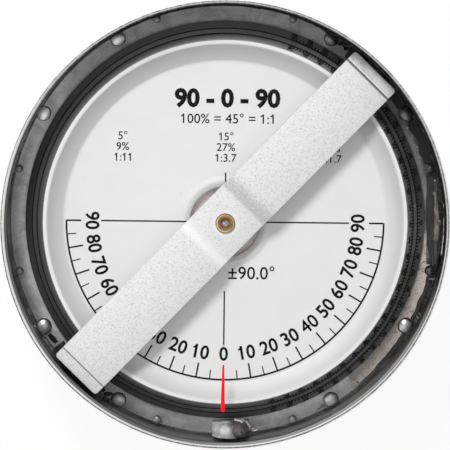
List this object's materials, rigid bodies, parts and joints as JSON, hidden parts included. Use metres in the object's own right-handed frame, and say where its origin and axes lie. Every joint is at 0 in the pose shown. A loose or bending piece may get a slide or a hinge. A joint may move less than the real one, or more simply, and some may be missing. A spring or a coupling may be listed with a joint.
{
  "type": "clinometer",
  "caption": "Round liquid-damped clinometer capsule: a weighted card on a pivot turns under a clear window, a fixed red index and a bridge, in an aluminium cup.",
  "frame": {"origin": "centre of the back face, which the instrument lies on", "axes": "+Z out of the dial along the card's axis, -Y towards the red index and the rest position of the card's zero, +X towards the sight opening"},
  "size_m": [0.045, 0.045, 0.0115],
  "materials": {
    "case_aluminium": "turned and lightly brushed, bright rim",
    "bridge_aluminium": "fine bead-blasted, pale and matt",
    "clear_plastic": "clear moulded, polished",
    "sight_plastic": "clear, polished",
    "plate_grey": "dark grey moulded, mottled",
    "peg_plastic": "pale grey, domed and glossy",
    "black_plastic": "matt black",
    "brass": "turned",
    "brass_shadow": "turned, dull",
    "jewel": "polished sapphire",
    "steel": "ground",
    "card_white": "satin white",
    "ring_black": "matt charcoal with fine print",
    "print_black": "printed, matt",
    "index_red": "enamel",
    "pad_tan": "pale tan, speckled",
    "block_grey": "light grey, lightly scratched",
    "sealant": "black, glossy and uneven",
    "rubber": "matt black"
  },
  "bodies": {
    "case": {"case_cup": "case_aluminium", "capsule_cover": "clear_plastic", "window_seal": "sealant", "base_plate": "plate_grey", "locating_pegs": "peg_plastic", "small_pegs": "peg_plastic", "bridge": "bridge_aluminium", "bridge_post_ne": "black_plastic", "bridge_post_sw": "black_plastic", "front_bearing_screw": "brass", "front_jewel": "jewel", "rear_bearing_cup": "brass", "rear_jewel": "jewel", "index_line": "index_red", "sight_frame": "black_plastic", "sight_window": "sight_plastic", "hairline": "print_black", "reflector_pad": "pad_tan", "fill_block": "block_grey", "fill_ball": "brass_shadow", "fill_plug": "rubber", "sealant_line": "sealant", "expansion_diaphragm": "rubber", "diaphragm_ring": "plate_grey"},
    "card": {"axle": "steel", "hub": "brass_shadow", "dial_card": "card_white", "scale_ring": "ring_black", "dial_marks": "print_black", "counterweight": "brass"}
  },
  "joints": [
    {"name": "card_spin", "type": "hinge", "parent": "case", "child": "card", "pos_m": [0, 0, 0.006], "axis": [0, 0, 1], "continuous": true}
  ]
}
